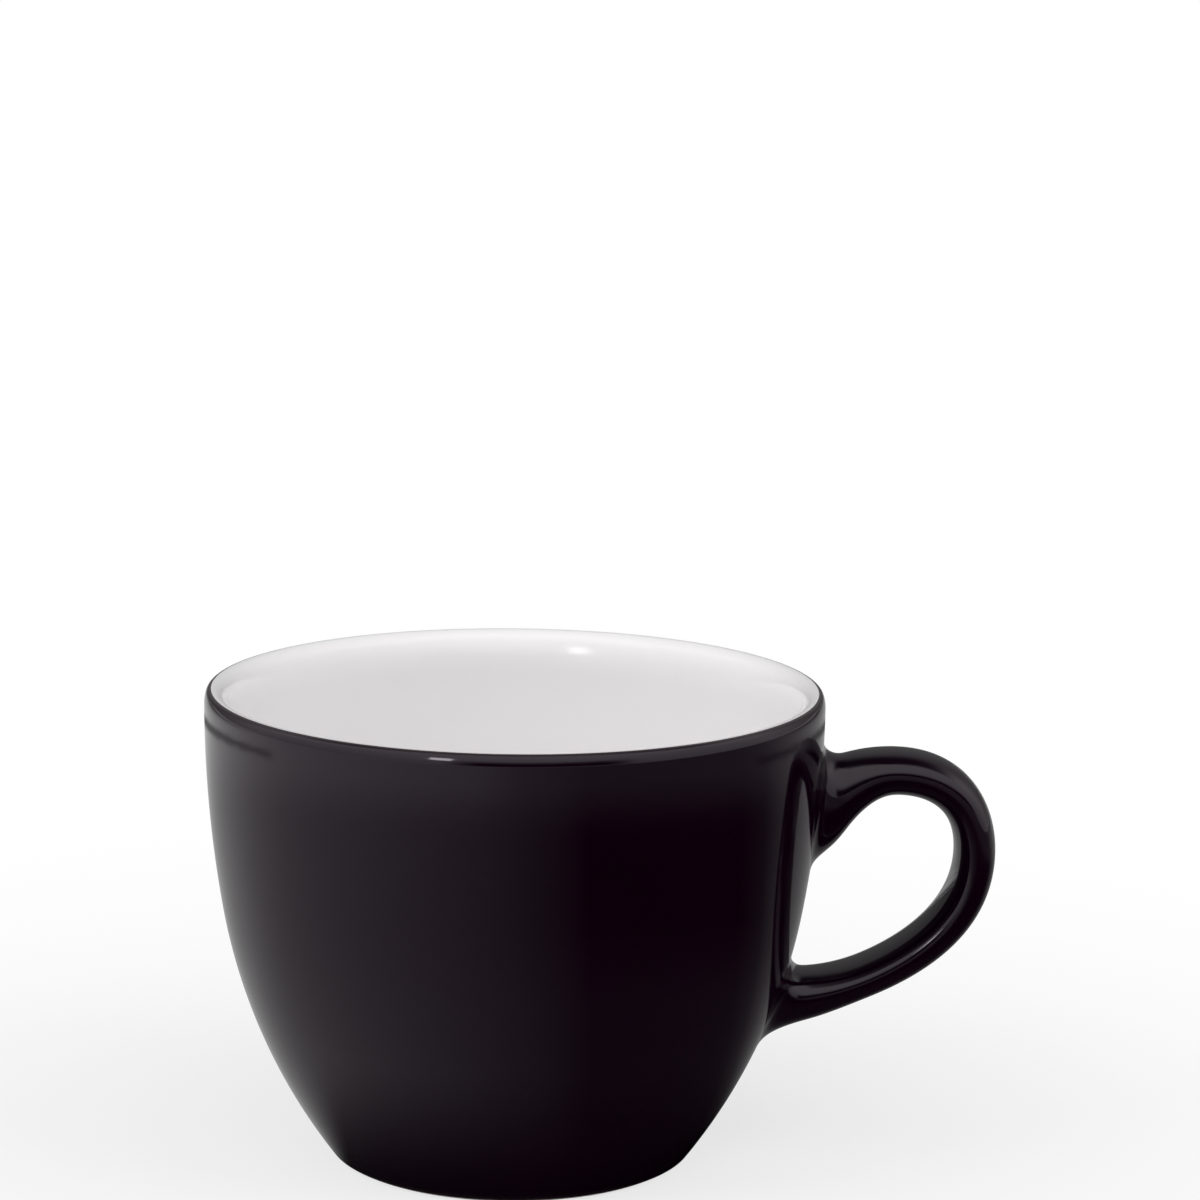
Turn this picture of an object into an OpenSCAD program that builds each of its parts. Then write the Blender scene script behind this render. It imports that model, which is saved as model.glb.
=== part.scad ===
// Espresso cup: a thick porcelain cup, white inside and black outside, with a cast loop handle luted on.
// Millimetres. +Z is up, the origin is the cup's axis at the table, and the handle points along +X.
// Every outside size is the finished size, measured over the glaze.

/* [Cup] */
// Outside diameter at the lip
cup_d = 64; // [48:0.5:100]
// Height from the table to the top of the lip
cup_h = 49.3; // [36:0.1:90]
// Diameter at which the lower curve would meet the table
foot_d = 37.2; // [24:0.2:70]
// Radius of the slow bow of the upper wall
bow_r = 125; // [70:1:300]
// Height at which that bow passes into the tighter lower curve
turn_h = 26.5; // [15:0.5:40]
// Thickness of the wall
wall_t = 2.9; // [2:0.1:5]
// Radius of the curve between the inside wall and the inside floor
bowl_fillet_r = 9; // [3:0.5:16]

/* [Lip] */
// Height over which the outside rounds over into the lip
lip_drop = 1.45; // [0.8:0.05:2.5]
// Radius of the gentle shoulder at the start of that round
lip_shoulder_r = 3; // [2.6:0.1:12]
// Radius of the tight outer edge of the lip
lip_edge_r = 0.6; // [0.55:0.05:1.4]
// Radius of the gentle flare of the inside wall below the lip
flare_r = 10; // [4:0.5:30]
// How far that flare leans out, in degrees, where the lip's inner round takes over
flare_deg = 20; // [5:0.5:30]
// Where white meets black on that edge, in degrees up from level
lip_line_deg = 85; // [40:0.5:90]

/* [Foot] */
// Radius that rounds the outer edge of the foot
foot_round_r = 0.9; // [0.6:0.05:2]
// Width of the flat ring that the cup stands on
land_w = 2.4; // [1:0.1:6]
// Bevel wiped along both edges of that ring
land_bevel = 0.15; // [0.05:0.05:0.4]
// Depth of the hollow inside the ring
recess_d = 1.8; // [1.4:0.1:4]
// Radius in the corner of that hollow
recess_corner_r = 0.9; // [0.5:0.1:2]
// Thickness of the floor over the hollow
floor_t = 3.6; // [2:0.1:8]

/* [Glaze] */
// Thickness of each coat of glaze
glaze_t = 0.3; // [0.15:0.05:0.5]
// Height of the black coat's lowest edge above the table
glaze_lift = 0.2; // [0.1:0.05:0.6]
// Height left bare on the wall of the hollow under the foot
recess_bare_h = 0.5; // [0.3:0.1:1]

/* [Handle loop] */
// Reach of the handle beyond the lip
handle_reach = 18.2; // [12:0.1:40]
// Drop of the loop's outermost point below the top of the lip
reach_drop = 17.05; // [10:0.05:40]
// Drop of the crest of the loop's centre line below the top of the lip
crest_drop = 8.45; // [5:0.05:20]
// Distance of the crest beyond the lip
crest_out = 7.5; // [4:0.1:20]
// Width of the strap, across the loop
strap_w = 8.4; // [5:0.1:14]
// Thickness of the strap at the crest
crest_t = 4.74; // [3:0.02:8]
// Thickness of the strap at the outermost point
reach_t = 4.34; // [3:0.02:8]
// Thickness of the strap along the lower arm
lower_t = 4.04; // [3:0.02:8]
// Squareness of the strap's section, from 2 for an ellipse
section_power = 2.4; // [2:0.1:4]

/* [Handle roots] */
// Drop of the middle of the upper root's cut end below the top of the lip
upper_root_drop = 11; // [8:0.05:25]
// Height of that cut end, which widens into a web under the arm
upper_root_t = 8.4; // [4:0.1:14]
// How much lower the upper root's fillet sits on the cup than its cut end
upper_root_sink = 1; // [0:0.1:3]
// Height of the middle of the lower root above the table
lower_root_h = 16.85; // [8:0.05:30]
// Height of the lower root
lower_root_t = 5.4; // [3:0.1:10]
// Gap between each cut end of the handle and the cup, filled by the slip
slip_gap = 2.4; // [0.6:0.1:4]
// Width of the fillet of slip pressed out around each root
slip_spread = 2.6; // [0.6:0.1:4]
// Share of the gap over which the fillet runs straight on from the strap
fillet_lead = 0.4; // [0:0.05:0.8]
// How far the fillet fills its corner, from 0 for a tight one
fillet_full = 0.33; // [0:0.01:0.8]

/* [Handle curve] */
// How fast the web under the upper arm fades, from 1 for a straight taper
web_power = 2; // [1:0.1:4]
// Fullness on the far side of the crest
crest_out_full = 0.6; // [0.1:0.01:1]
// Fullness above the outermost point
reach_up_full = 0.64; // [0.1:0.01:1]
// Fullness below the outermost point
reach_down_full = 0.75; // [0.1:0.01:1]
// Fullness where the curve runs into the lower root
lower_full = 0.09; // [0.05:0.01:1]
// Share of the lower arm that thickens into its root
lower_flare = 0.4; // [0.1:0.05:0.8]

/* [Fineness] */
// Points around the strap's section
section_n = 24; // [12:4:48]
// Steps along the handle from the upper root to the crest
upper_n = 10; // [4:1:20]
// Steps from the crest to the outermost point
bend_n = 12; // [4:1:24]
// Steps from the outermost point to the lower root
lower_n = 20; // [6:1:32]
// Steps up each fillet of slip
fillet_n = 7; // [2:1:12]
// Rings of points across each contact face
contact_n = 4; // [2:1:8]

/* [Hidden] */
$fn = 180;

// Centres and seams are snapped to a fine grid, so that neighbouring pieces share their edges.
grid = 0.0001;
function snap(v) = round(v / grid) * grid;

// Outside outline: lip edge, shoulder, slow upper arc, tighter lower arc and foot round, all tangent.
cup_r = cup_d / 2;
lip_z = cup_h - lip_drop;
shoulder_run = lip_shoulder_r - lip_edge_r;
edge_sin = (lip_drop - lip_edge_r) / shoulder_run;
edge_x = snap(cup_r - lip_shoulder_r + shoulder_run * sqrt(1 - edge_sin * edge_sin));
edge_z = cup_h - lip_edge_r;
bow_x = cup_r - bow_r;
bow_deg = asin((lip_z - turn_h) / bow_r);
turn_dir = [cos(bow_deg), -sin(bow_deg)];
turn_pt = [bow_x, lip_z] + bow_r * turn_dir;
foot_span = turn_pt - [foot_d / 2, 0];
low_r = snap((foot_span * foot_span) / (2 * (turn_dir * foot_span)));
low_c = [for (v = turn_pt - low_r * turn_dir) snap(v)];
round_z = glaze_lift + foot_round_r;
round_x = snap(low_c[0] + sqrt(pow(low_r - foot_round_r, 2) - pow(low_c[1] - round_z, 2)));
round_sin = (low_c[1] - round_z) / (low_r - foot_round_r);

// Inside outline: the lip's round, the same two arcs one wall further in, and a fillet to a flat floor.
// The radius of the lip's inner round follows, as the one that is tangent to the outer edge and to the flare.
inner_bow_r = bow_r - wall_t;
flare_run = [edge_x - bow_x, lip_drop - flare_r];
flare_lean = [cos(flare_deg), 1 - sin(flare_deg)];
flare_gain = flare_run * flare_run - pow(inner_bow_r + flare_r, 2);
flare_half = flare_run * flare_lean;
lean_sq = flare_lean * flare_lean;
inlip_r = snap(flare_r - (sqrt(flare_half * flare_half - lean_sq * flare_gain) - flare_half) / lean_sq);
inlip_z = cup_h - inlip_r;
flare_c = [for (v = [edge_x, inlip_z] + (flare_r - inlip_r) * [cos(flare_deg), -sin(flare_deg)]) snap(v)];
flare_sin = (lip_z - flare_c[1]) / (inner_bow_r + flare_r);
floor_z = recess_d + floor_t - glaze_t;
bowl_z = floor_z + bowl_fillet_r;
bowl_run = low_r - wall_t - bowl_fillet_r;
bowl_x = snap(low_c[0] + sqrt(pow(bowl_run, 2) - pow(low_c[1] - bowl_z, 2)));
bowl_sin = (low_c[1] - bowl_z) / bowl_run;

// Underside: a flat ring of bare porcelain round a shallow hollow.
land_r = round_x;
recess_r = land_r - land_w;
over = 1;

// Handle: an arm that rises to a level crest, then two Bezier curves round the bend to the lower root.
upper_z = cup_h - upper_root_drop;
crest_z = cup_h - crest_drop;
reach_z = cup_h - reach_drop;
upper_end = [wall_r(upper_z, 0) + slip_gap, upper_z];
crest = [cup_r + crest_out, crest_z];
reach = [cup_r + handle_reach - reach_t / 2, reach_z];
lower_end = [wall_r(lower_root_h, 0) + slip_gap, lower_root_h];
level = [1, 0];
upright = [0, 1];
bend_span = reach - crest;
lower_span = reach - lower_end;
bend_curve = [
    crest,
    crest + crest_out_full * bend_span[0] * level,
    reach - reach_up_full * bend_span[1] * upright,
    reach
];
lower_curve = [
    reach,
    reach - reach_down_full * lower_span[1] * upright,
    lower_end + lower_full * lower_span[0] * level,
    lower_end
];

// Height at which the two arcs meet on a surface set in by some distance.
function turn_z(inset) = snap(turn_h + inset * sin(bow_deg));

// Heights at which the inside wall runs into the flare, and the flare into the lip's round, on a surface
// grown into the wall by some distance.
function flare_seam(grow) = snap(flare_c[1] + (flare_r - grow) * flare_sin);
function inlip_seam(grow) = snap(inlip_z + (inlip_r - grow) * sin(flare_deg));
lip_split = max(lip_z, inlip_seam(0));

// Radius of the outside, set in by some distance, at a height between the foot round and the lip.
function wall_r(z, inset) =
    z > turn_z(inset)
        ? bow_x + sqrt(pow(bow_r - inset, 2) - pow(z - lip_z, 2))
        : low_c[0] + sqrt(pow(low_r - inset, 2) - pow(z - low_c[1], 2));

// Point on that surface, on the handle's side, for a given place across and up.
function wall_pt(y, z, inset) = [sqrt(pow(wall_r(z, inset), 2) - y * y), y, z];

function bezier(p, t) =
    pow(1 - t, 3) * p[0]
    + 3 * pow(1 - t, 2) * t * p[1]
    + 3 * (1 - t) * t * t * p[2]
    + pow(t, 3) * p[3];
function bezier_dir(p, t) =
    pow(1 - t, 2) * (p[1] - p[0])
    + 2 * (1 - t) * t * (p[2] - p[1])
    + t * t * (p[3] - p[2]);
function ease(t) = t * t * (3 - 2 * t);
function blend(a, b, t) = a + (b - a) * ease(min(1, max(0, t)));

// One point of the strap's section, as shares of its half width and half thickness.
function rounded(v) = sign(v) * pow(abs(v), 2 / section_power);
function section_pt(i) = [rounded(cos(360 * i / section_n)), rounded(sin(360 * i / section_n))];

// Ring of the strap square to the centre line, thinned all round by some distance.
function strap_ring(p, dir, thick, inset) =
    let (side = [-dir[1], dir[0]] / norm(dir))
    [
        for (i = [0 : section_n - 1])
            let (s = section_pt(i), up = (thick / 2 - inset) * s[1])
            [p[0] + up * side[0], (strap_w / 2 - inset) * s[0], p[1] + up * side[1]]
    ];

// The upper arm's rings stand upright, and its web fades out towards the crest.
function upper_ring(k, inset) =
    let (
        t = k / upper_n,
        web = pow(1 - t, web_power),
        p = [upper_end[0] + (crest[0] - upper_end[0]) * t, crest_z - (crest_z - upper_z) * web]
    )
    strap_ring(p, level, crest_t + (upper_root_t - crest_t) * web, inset);
function bend_ring(k, inset) =
    let (t = k / bend_n)
    strap_ring(bezier(bend_curve, t), bezier_dir(bend_curve, t), blend(crest_t, reach_t, t), inset);
function lower_thick(t) =
    t < 1 - lower_flare
        ? blend(reach_t, lower_t, t / (1 - lower_flare))
        : blend(lower_t, lower_root_t, (t - 1 + lower_flare) / lower_flare);
function lower_ring(k, inset) =
    let (t = k / lower_n)
    strap_ring(bezier(lower_curve, t), bezier_dir(lower_curve, t), lower_thick(t), inset);

// All rings of the strap, from its upper cut end to its lower one.
function strap_rings(inset) = [
    for (k = [0 : upper_n]) upper_ring(k, inset),
    for (k = [1 : bend_n]) bend_ring(k, inset),
    for (k = [1 : lower_n]) lower_ring(k, inset)
];

// Edge of a root's fillet, seen along the handle's reach. The lower root's section runs the other way up.
function root_edge(z, thick, up) = [
    for (i = [0 : section_n - 1])
        let (s = section_pt(i))
        [(strap_w / 2 + slip_spread) * s[0], z + up * (thick / 2 + slip_spread) * s[1]]
];
upper_edge = root_edge(upper_z - upper_root_sink, upper_root_t, 1);
lower_edge = root_edge(lower_root_h, lower_root_t, -1);

// Curve of the fillet from one point of a cut end, running on from the strap, to its edge on the wall.
function fillet_curve(from, before, edge_pt, inset) =
    let (
        gap = from[0] - wall_pt(from[1], from[2], inset)[0],
        lead = from + fillet_lead * gap / (before[0] - from[0]) * (from - before),
        lead_pt = [lead[1], lead[2]],
        corner = lead_pt + fillet_full * (edge_pt - lead_pt)
    )
    [from, lead, wall_pt(corner[0], corner[1], inset), wall_pt(edge_pt[0], edge_pt[1], inset)];

// Rings of the fillet from a cut end, of which the ring before it gives the strap's heading, out to its edge.
function fillet_rings(end_ring, before, edge, inset) =
    let (curves = [for (i = [0 : section_n - 1]) fillet_curve(end_ring[i], before[i], edge[i], inset)])
    [for (k = [1 : fillet_n]) [for (c = curves) bezier(c, k / fillet_n)]];

// Rings over a contact face on the wall, from just inside its edge towards its middle.
function edge_mid(edge) = [for (a = [0, 1]) (max([for (p = edge) p[a]]) + min([for (p = edge) p[a]])) / 2];
function contact_rings(edge, inset) =
    let (mid = edge_mid(edge))
    [
        for (k = [1 : contact_n - 1])
            [for (p = edge) let (q = p + (mid - p) * k / contact_n) wall_pt(q[0], q[1], inset)]
    ];
function contact_mid(edge, inset) =
    let (mid = edge_mid(edge))
    wall_pt(mid[0], mid[1], inset);

function flip(list) = [for (i = [len(list) - 1 : -1 : 0]) list[i]];
function joined(lists) = [for (l = lists) each l];

// Triangles between rings that follow each other, seen from outside or, turned, from inside.
function skin_faces(ring_n, first, turned) = [
    for (k = [0 : ring_n - 2])
        for (i = [0 : section_n - 1])
            let (
                j = (i + 1) % section_n,
                a = first + k * section_n,
                b = a + section_n
            )
            each turned
                ? [[a + i, b + j, b + i], [a + i, a + j, b + j]]
                : [[a + i, b + i, b + j], [a + i, b + j, a + j]]
];
// Triangles of the strip between two rings of the same size.
function strip_faces(a, b) = [
    for (i = [0 : section_n - 1])
        let (j = (i + 1) % section_n)
        each [[a + i, a + j, b + j], [a + i, b + j, b + i]]
];
// Triangles from a ring to one middle point.
function fan_faces(a, mid) = [for (i = [0 : section_n - 1]) [a + i, mid, a + (i + 1) % section_n]];

// Solid strap with a flat cut at each end.
module strap(rings) {
    last = (len(rings) - 1) * section_n;
    start_cap = [for (i = [0 : section_n - 1]) i];
    end_cap = [for (i = [section_n - 1 : -1 : 0]) last + i];
    polyhedron(joined(rings), concat([start_cap], skin_faces(len(rings), 0, false), [end_cap]));
}

// Open coat between an outer and an inner skin that have the same number of rings.
module coat(outer, inner) {
    n = len(outer) * section_n;
    last = n - section_n;
    polyhedron(
        concat(joined(outer), joined(inner)),
        concat(
            skin_faces(len(outer), 0, false),
            skin_faces(len(inner), n, true),
            strip_faces(0, n),
            strip_faces(n + last, last)
        )
    );
}

// Pad of slip from a cut end down its fillet to the wall, closed over the wall.
module pad(rings, mid) {
    n = len(rings) * section_n;
    start_cap = [for (i = [0 : section_n - 1]) i];
    polyhedron(
        concat(joined(rings), [mid]),
        concat([start_cap], skin_faces(len(rings), 0, false), fan_faces(n - section_n, n))
    );
}

// Outline of the cup as a filled shape, set in from the glazed outside, from the foot up to the lip's middle.
module filled(inset) {
    round_top = snap(round_z - (foot_round_r - inset) * round_sin);
    turn = turn_z(inset);
    intersection() {
        translate([bow_x, lip_z]) circle(bow_r - inset);
        translate([0, turn]) square([cup_r, lip_z - turn]);
    }
    intersection() {
        translate(low_c) circle(low_r - inset);
        translate([0, round_top]) square([cup_r, turn - round_top]);
    }
    intersection() {
        translate([round_x, round_z]) circle(foot_round_r - inset);
        translate([round_x, glaze_lift + inset]) square([cup_r, round_top - glaze_lift - inset]);
    }
    translate([0, glaze_lift + inset]) square([round_x, round_top - glaze_lift - inset]);
}

// Space inside the cup, grown by some distance into the wall, from the floor up past the lip's middle.
module bowl(grow) {
    inset = wall_t - grow;
    round_top = snap(bowl_z - (bowl_fillet_r + grow) * bowl_sin);
    turn = turn_z(inset);
    seam = flare_seam(grow);
    lip_seam = inlip_seam(grow);
    difference() {
        translate([0, lip_seam]) square([edge_x, cup_h + over - lip_seam]);
        translate([edge_x, inlip_z]) circle(inlip_r - grow);
    }
    difference() {
        translate([0, seam]) square([edge_x, lip_seam - seam]);
        translate(flare_c) circle(flare_r - grow);
    }
    intersection() {
        translate([bow_x, lip_z]) circle(bow_r - inset);
        translate([0, turn]) square([cup_r, seam - turn]);
    }
    intersection() {
        translate(low_c) circle(low_r - inset);
        translate([0, round_top]) square([cup_r, turn - round_top]);
    }
    intersection() {
        translate([bowl_x, bowl_z]) circle(bowl_fillet_r + grow);
        translate([bowl_x, floor_z - grow]) square([cup_r, round_top - floor_z + grow]);
    }
    translate([0, floor_z - grow]) square([bowl_x, round_top - floor_z + grow]);
}

// Top of the wall above the bow: shoulder and edge outside, and the upper part of the wide round inside.
module lip(inset) {
    edge_bottom = snap(edge_z + (lip_edge_r - inset) * edge_sin);
    intersection() {
        translate([cup_r - lip_shoulder_r, lip_z]) circle(lip_shoulder_r - inset);
        translate([edge_x, lip_z]) square([cup_r - edge_x, edge_bottom - lip_z]);
    }
    intersection() {
        translate([edge_x, edge_z]) circle(lip_edge_r - inset);
        translate([edge_x, edge_bottom]) square([cup_r - edge_x, cup_h - edge_bottom]);
    }
    intersection() {
        translate([edge_x, inlip_z]) circle(inlip_r - inset);
        translate([edge_x - inlip_r, lip_split]) square([inlip_r, cup_h - lip_split]);
    }
    if (lip_split > lip_z) difference() {
        translate([0, lip_z]) square([edge_x, lip_split - lip_z]);
        bowl(inset);
    }
}

// Coat over the lip on one side of the line where white meets black: 1 for outside, -1 for inside.
module lip_coat(side) {
    far = wall_t + lip_drop;
    intersection() {
        difference() {
            lip(0);
            lip(glaze_t);
        }
        translate([edge_x, edge_z]) polygon([
            [0, -far],
            [0, 0],
            far * [cos(lip_line_deg), sin(lip_line_deg)],
            [side * far, far],
            [side * far, -far]
        ]);
    }
}

// Hollow under the cup, shrunk by a coat of some thickness on its roof and walls.
module hollow(coat_t) {
    corner = recess_corner_r - coat_t;
    wide = recess_r - coat_t;
    top = recess_d - coat_t;
    square([wide - corner, top]);
    square([wide, top - corner]);
    translate([wide - corner, top - corner]) intersection() {
        circle(corner);
        square(corner);
    }
}

// Porcelain cup: wall, floor and the ring it stands on.
module cup_body() {
    color("ghostwhite") rotate_extrude() {
        difference() {
            union() {
                filled(glaze_t);
                polygon([
                    [0, 0],
                    [land_r - land_bevel, 0],
                    [land_r, land_bevel],
                    [land_r, glaze_lift + glaze_t],
                    [0, glaze_lift + glaze_t]
                ]);
            }
            bowl(glaze_t);
            hollow(0);
            polygon([
                [0, -over],
                [recess_r + land_bevel + over, -over],
                [recess_r - over, land_bevel + over]
            ]);
        }
        lip(glaze_t);
    }
}

// White glaze over the whole inside and across the top of the lip.
module inner_glaze() {
    color("white") rotate_extrude() {
        intersection() {
            difference() {
                bowl(glaze_t);
                bowl(0);
            }
            square([cup_r, lip_z]);
        }
        lip_coat(-1);
    }
}

// Black glaze from the line on the lip down to the foot, left open where the handle's own coat takes over.
module outer_glaze() {
    color("dimgray") difference() {
        rotate_extrude() {
            difference() {
                filled(0);
                filled(glaze_t);
                square([land_r, round_z]);
            }
            lip_coat(1);
        }
        root_opening(upper_edge);
        root_opening(lower_edge);
    }
}

module root_opening(edge) {
    rotate([90, 0, 90]) linear_extrude(cup_r + handle_reach) polygon(edge);
}

// Black glaze on the roof and walls of the hollow under the foot.
module base_glaze() {
    color("dimgray") rotate_extrude() difference() {
        hollow(0);
        hollow(glaze_t);
        square([recess_r, recess_bare_h]);
    }
}

// Cast porcelain loop, cut square at both roots.
module handle() {
    color("ghostwhite") strap(strap_rings(glaze_t));
}

// Black glaze over the loop and over the fillets of slip at both of its roots.
module handle_glaze() {
    outer = strap_rings(0);
    inner = strap_rings(glaze_t);
    end = len(outer) - 1;
    color("dimgray") coat(
        concat(
            flip(fillet_rings(outer[0], outer[1], upper_edge, 0)),
            outer,
            fillet_rings(outer[end], outer[end - 1], lower_edge, 0)
        ),
        concat(
            flip(fillet_rings(inner[0], inner[1], upper_edge, glaze_t)),
            inner,
            fillet_rings(inner[end], inner[end - 1], lower_edge, glaze_t)
        )
    );
}

// Slip that lutes the upper root to the cup. Its rings run from the wall to the cut end, so it is mirrored.
module upper_slip_joint() {
    strap = strap_rings(glaze_t);
    fillet = fillet_rings(strap[0], strap[1], upper_edge, glaze_t);
    rings = concat([strap[0]], fillet, contact_rings(upper_edge, glaze_t));
    color("lightgray") pad([for (r = rings) flip(r)], contact_mid(upper_edge, glaze_t));
}

// Slip that lutes the lower root to the cup.
module lower_slip_joint() {
    strap = strap_rings(glaze_t);
    end = len(strap) - 1;
    fillet = fillet_rings(strap[end], strap[end - 1], lower_edge, glaze_t);
    rings = concat([strap[end]], fillet, contact_rings(lower_edge, glaze_t));
    color("lightgray") pad(rings, contact_mid(lower_edge, glaze_t));
}

cup_body();
inner_glaze();
outer_glaze();
base_glaze();
handle();
handle_glaze();
upper_slip_joint();
lower_slip_joint();
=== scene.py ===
import math

import bmesh
import bpy
from mathutils import Matrix, Vector


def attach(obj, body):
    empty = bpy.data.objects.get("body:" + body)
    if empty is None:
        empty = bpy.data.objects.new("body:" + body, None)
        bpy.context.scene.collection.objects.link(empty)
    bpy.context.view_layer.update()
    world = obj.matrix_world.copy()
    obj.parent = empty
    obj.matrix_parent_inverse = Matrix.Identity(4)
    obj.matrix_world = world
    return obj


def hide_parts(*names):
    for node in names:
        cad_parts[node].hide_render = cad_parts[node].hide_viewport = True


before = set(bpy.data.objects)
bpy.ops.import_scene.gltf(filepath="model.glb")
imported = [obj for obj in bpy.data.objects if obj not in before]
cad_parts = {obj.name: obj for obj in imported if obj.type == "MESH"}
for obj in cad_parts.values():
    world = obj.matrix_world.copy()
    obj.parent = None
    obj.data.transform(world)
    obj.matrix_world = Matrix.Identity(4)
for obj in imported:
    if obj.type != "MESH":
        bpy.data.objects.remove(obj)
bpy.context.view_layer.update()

# The cup: white porcelain, cast in one piece in a plaster mould, trimmed on a wheel and fired.
# Glaze covers all of it but the flat ring that it stands on, which is wiped clean before the last firing.
# Its sizes, and those of every other piece, are in millimetres until the piece is fired.
MM = 0.001
CUP_R = 32.0
CUP_H = 49.3
WALL_T = 2.9
GLAZE_T = 0.3
LIP_DROP = 1.45
LIP_Z = CUP_H - LIP_DROP

# The wall is a slow arc above and a tighter one below, tangent where they meet at the turn.
# The lower one runs down towards the foot's radius on the table, and a small round ends it there.
BOW_R = 125.0
BOW = (CUP_R - BOW_R, LIP_Z)
TURN_H = 26.5
BOW_DEG = math.degrees(math.asin((BOW[1] - TURN_H) / BOW_R))
TURN_DIR = Vector((math.cos(math.radians(BOW_DEG)), -math.sin(math.radians(BOW_DEG))))
TURN = Vector(BOW) + BOW_R * TURN_DIR
FOOT_R = 18.6
FOOT_SPAN = TURN - Vector((FOOT_R, 0))
LOW_R = FOOT_SPAN.dot(FOOT_SPAN) / (2 * TURN_DIR.dot(FOOT_SPAN))
LOW = TURN - LOW_R * TURN_DIR
GLAZE_LIFT = 0.2
ROUND_R = 0.9
ROUND_Z = GLAZE_LIFT + ROUND_R
ROUND = (LOW.x + math.sqrt((LOW_R - ROUND_R) ** 2 - (LOW.y - ROUND_Z) ** 2), ROUND_Z)
FOOT_DEG = math.degrees(math.asin((LOW.y - ROUND_Z) / (LOW_R - ROUND_R)))

# The lip has a gentle shoulder and a tight edge outside. Inside, a rounder edge runs into a slow flare.
# The inner edge has the one radius that lets the flare touch both that edge and the wall, by a quadratic.
SHOULDER_R = 3.0
SHOULDER = (CUP_R - SHOULDER_R, LIP_Z)
EDGE_R = 0.6
EDGE_RAD = math.asin((LIP_DROP - EDGE_R) / (SHOULDER_R - EDGE_R))
EDGE_DEG = math.degrees(EDGE_RAD)
EDGE = (SHOULDER[0] + (SHOULDER_R - EDGE_R) * math.cos(EDGE_RAD), CUP_H - EDGE_R)
INNER_BOW_R = BOW_R - WALL_T
FLARE_R = 10.0
FLARE_DEG = 20.0
FLARE_DIR = Vector((math.cos(math.radians(FLARE_DEG)), -math.sin(math.radians(FLARE_DEG))))
FLARE_RUN = Vector((EDGE[0] - BOW[0], LIP_DROP - FLARE_R))
FLARE_LEAN = FLARE_DIR + Vector((0, 1))
FLARE_HALF = FLARE_RUN.dot(FLARE_LEAN)
FLARE_GAIN = FLARE_RUN.dot(FLARE_RUN) - (INNER_BOW_R + FLARE_R) ** 2
LEAN_SQ = FLARE_LEAN.dot(FLARE_LEAN)
INLIP_R = FLARE_R - (math.sqrt(FLARE_HALF ** 2 - LEAN_SQ * FLARE_GAIN) - FLARE_HALF) / LEAN_SQ
INLIP = (EDGE[0], CUP_H - INLIP_R)
FLARE = Vector(INLIP) + (FLARE_R - INLIP_R) * FLARE_DIR
SEAM_DEG = math.degrees(math.asin((LIP_Z - FLARE.y) / (INNER_BOW_R + FLARE_R)))

# Inside, the same two arcs run one wall further in and a wide fillet takes them down to the floor.
FLOOR_Z = 5.1
FILLET_R = 9.0
FILLET_RUN = LOW_R - WALL_T - FILLET_R
FILLET = (LOW.x + math.sqrt(FILLET_RUN ** 2 - (LOW.y - FLOOR_Z - FILLET_R) ** 2), FLOOR_Z + FILLET_R)
FILLET_DEG = math.degrees(math.asin((LOW.y - FILLET[1]) / FILLET_RUN))

# Underneath, the standing ring goes round a shallow hollow.
RING_R = ROUND[0]
RING_W = 2.4
RING_BEVEL = 0.15
HOLLOW_R = RING_R - RING_W
HOLLOW_D = 1.8
CORNER_R = 0.9
CORNER = (HOLLOW_R - CORNER_R, HOLLOW_D - CORNER_R)

# The body under the coats is turned in coarser steps than the coats that are seen.
# Points within the weld distance are joined, and edges past the crease angle stay sharp.
BODY_STEPS, COAT_STEPS = 160, 240
WELD = 0.001
CREASE_DEG = 30


def line(bm, start, x, z):
    """Draws the profile straight on to a point, and returns its new end."""
    end = bmesh.ops.extrude_vert_indiv(bm, verts=[start])["verts"][0]
    end.co = (x, 0, z)
    return end


def arc(bm, start, centre, degrees, steps):
    """Draws the profile on round a centre, clockwise where degrees is positive, and returns its new end."""
    made = bmesh.ops.spin(bm, geom=[start], cent=(centre[0], 0, centre[1]), axis=(0, 1, 0),
                          angle=math.radians(degrees), steps=steps)
    return next(g for g in made["geom_last"] if isinstance(g, bmesh.types.BMVert))


def turn_on_wheel(bm, steps):
    """Turns a profile right round the cup's axis and closes it where it meets the axis."""
    bmesh.ops.spin(bm, geom=bm.verts[:] + bm.edges[:], cent=(0, 0, 0), axis=(0, 0, 1),
                   angle=2 * math.pi, steps=steps, use_merge=True)
    bmesh.ops.remove_doubles(bm, verts=bm.verts[:], dist=WELD)
    bmesh.ops.recalc_face_normals(bm, faces=bm.faces[:])


def set_down(name, bm, finish):
    """Makes an object of a mesh, in one finish."""
    mesh = bpy.data.meshes.new(name)
    bm.to_mesh(mesh)
    bm.free()
    mesh.materials.append(finish)
    made = bpy.data.objects.new(name, mesh)
    bpy.context.collection.objects.link(made)
    return made


def fire(name, bm, finish, node, coat=0):
    """Makes the finished piece from a mesh in millimetres, as a coat of some thickness where one is given."""
    bmesh.ops.scale(bm, vec=(MM, MM, MM), verts=bm.verts[:])
    for face in bm.faces:
        face.smooth = True
    made = set_down(name, bm, finish)
    made.data.set_sharp_from_angle(angle=math.radians(CREASE_DEG))
    if coat:
        wall = made.modifiers.new("coat", "SOLIDIFY")
        wall.thickness = coat * MM
        wall.offset = -1
    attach(made, "root")
    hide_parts(node)


def srgb(code):
    """A colour written as sRGB hex, as the linear values that a shader takes."""
    parts = [int(code[i:i + 2], 16) / 255 for i in (1, 3, 5)]
    return [p / 12.92 if p <= 0.04045 else ((p + 0.055) / 1.055) ** 2.4 for p in parts] + [1]


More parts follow.
